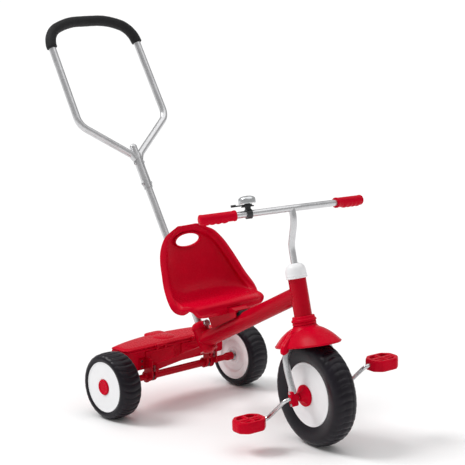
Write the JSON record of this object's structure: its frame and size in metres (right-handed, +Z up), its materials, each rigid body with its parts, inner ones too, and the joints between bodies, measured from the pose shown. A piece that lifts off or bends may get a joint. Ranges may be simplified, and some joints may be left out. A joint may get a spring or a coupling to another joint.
{
  "type": "children's tricycle",
  "caption": "Child's pedal tricycle with a bucket seat on a sloping tube, a lidded rear bin, a bell and a tall looped push handle that steers the front wheel.",
  "frame": {"origin": "on the ground under the middle of the tricycle's box", "axes": "+X forward, +Y to the rider's left, +Z up"},
  "size_m": [0.9981, 0.4966, 0.9788],
  "materials": {
    "red_paint": "gloss",
    "red_plastic": "gloss",
    "silver_paint": "satin",
    "white_plastic": "satin",
    "black_plastic": "satin",
    "tyre": "satin",
    "chrome": "polished",
    "steel": "satin",
    "foam": "matte"
  },
  "bodies": {
    "frame": {"main_tube": "red_paint", "head_tube": "red_paint", "head_collar": "red_plastic", "head_cap": "white_plastic", "pole_socket": "red_paint", "socket_collar": "red_plastic", "rear_axle_tube": "red_paint", "rear_axle": "steel", "rear_axle_nuts": "steel", "rear_stays": "red_paint", "stay_bolts": "steel", "axle_bracket_left": "red_paint", "axle_bracket_right": "red_paint", "axle_clamp_left": "red_paint", "axle_clamp_right": "red_paint", "axle_bushes": "black_plastic", "bin_tub": "red_plastic", "bin_screws": "steel", "lid_hinge_pins": "steel"},
    "lid": {"bin_lid": "red_plastic"},
    "button": {"lock_button": "black_plastic"},
    "link": {"link_rod": "steel"},
    "steerer": {"fork": "silver_paint", "steerer_tube": "silver_paint", "fender": "red_plastic", "steer_arm": "steel", "handlebar_stem": "silver_paint", "handlebar": "silver_paint", "grip_left": "red_plastic", "grip_right": "red_plastic", "bell_clamp": "black_plastic", "bell_dome": "chrome", "axle_guard_left": "red_plastic", "axle_guard_right": "red_plastic", "guard_screws": "steel"},
    "bell_thumb": {"bell_lever": "black_plastic"},
    "front_wheel": {"front_tyre": "tyre", "front_rim_left": "white_plastic", "front_rim_right": "white_plastic", "hub_flange_left": "red_plastic", "hub_flange_right": "red_plastic", "crank_axle": "chrome"},
    "left_pedal": {"pedal_left": "red_plastic"},
    "right_pedal": {"pedal_right": "red_plastic"},
    "left_rear_wheel": {"rear_tyre_left": "tyre", "rear_rim_left": "white_plastic", "rear_cap_left": "red_plastic"},
    "right_rear_wheel": {"rear_tyre_right": "tyre", "rear_rim_right": "white_plastic", "rear_cap_right": "red_plastic"},
    "seat": {"seat_shell": "red_plastic", "seat_bracket": "red_paint", "seat_clamp": "black_plastic", "seat_screws": "steel"},
    "push_handle": {"push_pole": "silver_paint", "pole_plug": "black_plastic", "turn_insert": "black_plastic", "push_loop": "silver_paint", "handle_bolts": "steel", "foam_grip": "foam"}
  },
  "joints": [
    {"name": "steering", "type": "hinge", "parent": "frame", "child": "steerer", "pos_m": [0.3714, 0, 0.127], "axis": [-0.2351, 0, 0.972], "range_deg": [-27, 43]},
    {"name": "handle_turn", "type": "hinge", "parent": "frame", "child": "push_handle", "pos_m": [0.03454, 0, 0.084], "axis": [-0.5083, 0, 0.8612], "range_deg": [-27, 43]},
    {"name": "link_slide", "type": "slide", "parent": "frame", "child": "link", "axis": [-0.8877, 0, -0.4604], "range_m": [-0.0056, 0.0087]},
    {"name": "front_wheel_spin", "type": "hinge", "parent": "steerer", "child": "front_wheel", "pos_m": [0.3714, 0, 0.127], "axis": [0.1353, 0.9903, 0.0327], "continuous": true},
    {"name": "left_pedal_spin", "type": "hinge", "parent": "front_wheel", "child": "left_pedal", "pos_m": [0.44269, 0.14987, 0.18643], "axis": [0.1353, 0.9903, 0.0327], "continuous": true},
    {"name": "right_pedal_spin", "type": "hinge", "parent": "front_wheel", "child": "right_pedal", "pos_m": [0.30011, -0.14987, 0.06757], "axis": [0.1353, 0.9903, 0.0327], "continuous": true},
    {"name": "left_rear_wheel_spin", "type": "hinge", "parent": "frame", "child": "left_rear_wheel", "pos_m": [-0.1276, 0.21585, 0.084], "axis": [0, 1, 0], "continuous": true},
    {"name": "right_rear_wheel_spin", "type": "hinge", "parent": "frame", "child": "right_rear_wheel", "pos_m": [-0.1276, -0.21585, 0.084], "axis": [0, 1, 0], "continuous": true},
    {"name": "seat_slide", "type": "slide", "parent": "frame", "child": "seat", "axis": [0.8877, 0, 0.4604], "range_m": [0, 0.05]},
    {"name": "lid_hinge", "type": "hinge", "parent": "frame", "child": "lid", "pos_m": [-0.1236, 0, 0.16], "axis": [0, 1, 0], "range_deg": [0, 75]},
    {"name": "button_press", "type": "slide", "parent": "frame", "child": "button", "axis": [-0.8612, 0, -0.5083], "range_m": [0, 0.0035], "stiffness_N_per_m": 400, "springref_m": -0.002},
    {"name": "bell_thumb_swing", "type": "hinge", "parent": "steerer", "child": "bell_thumb", "pos_m": [0.26237, -0.11229, 0.55508], "axis": [-0.2305, 0.0328, 0.9725], "range_deg": [0, 25], "stiffness_Nm_per_rad": 0.05, "springref_deg": -17.19}
  ],
  "couplings": [
    {"joint": "handle_turn", "follows": "steering", "ratio": 1},
    {"joint": "link_slide", "follows": "steering", "m_per_rad": 0.0113}
  ]
}
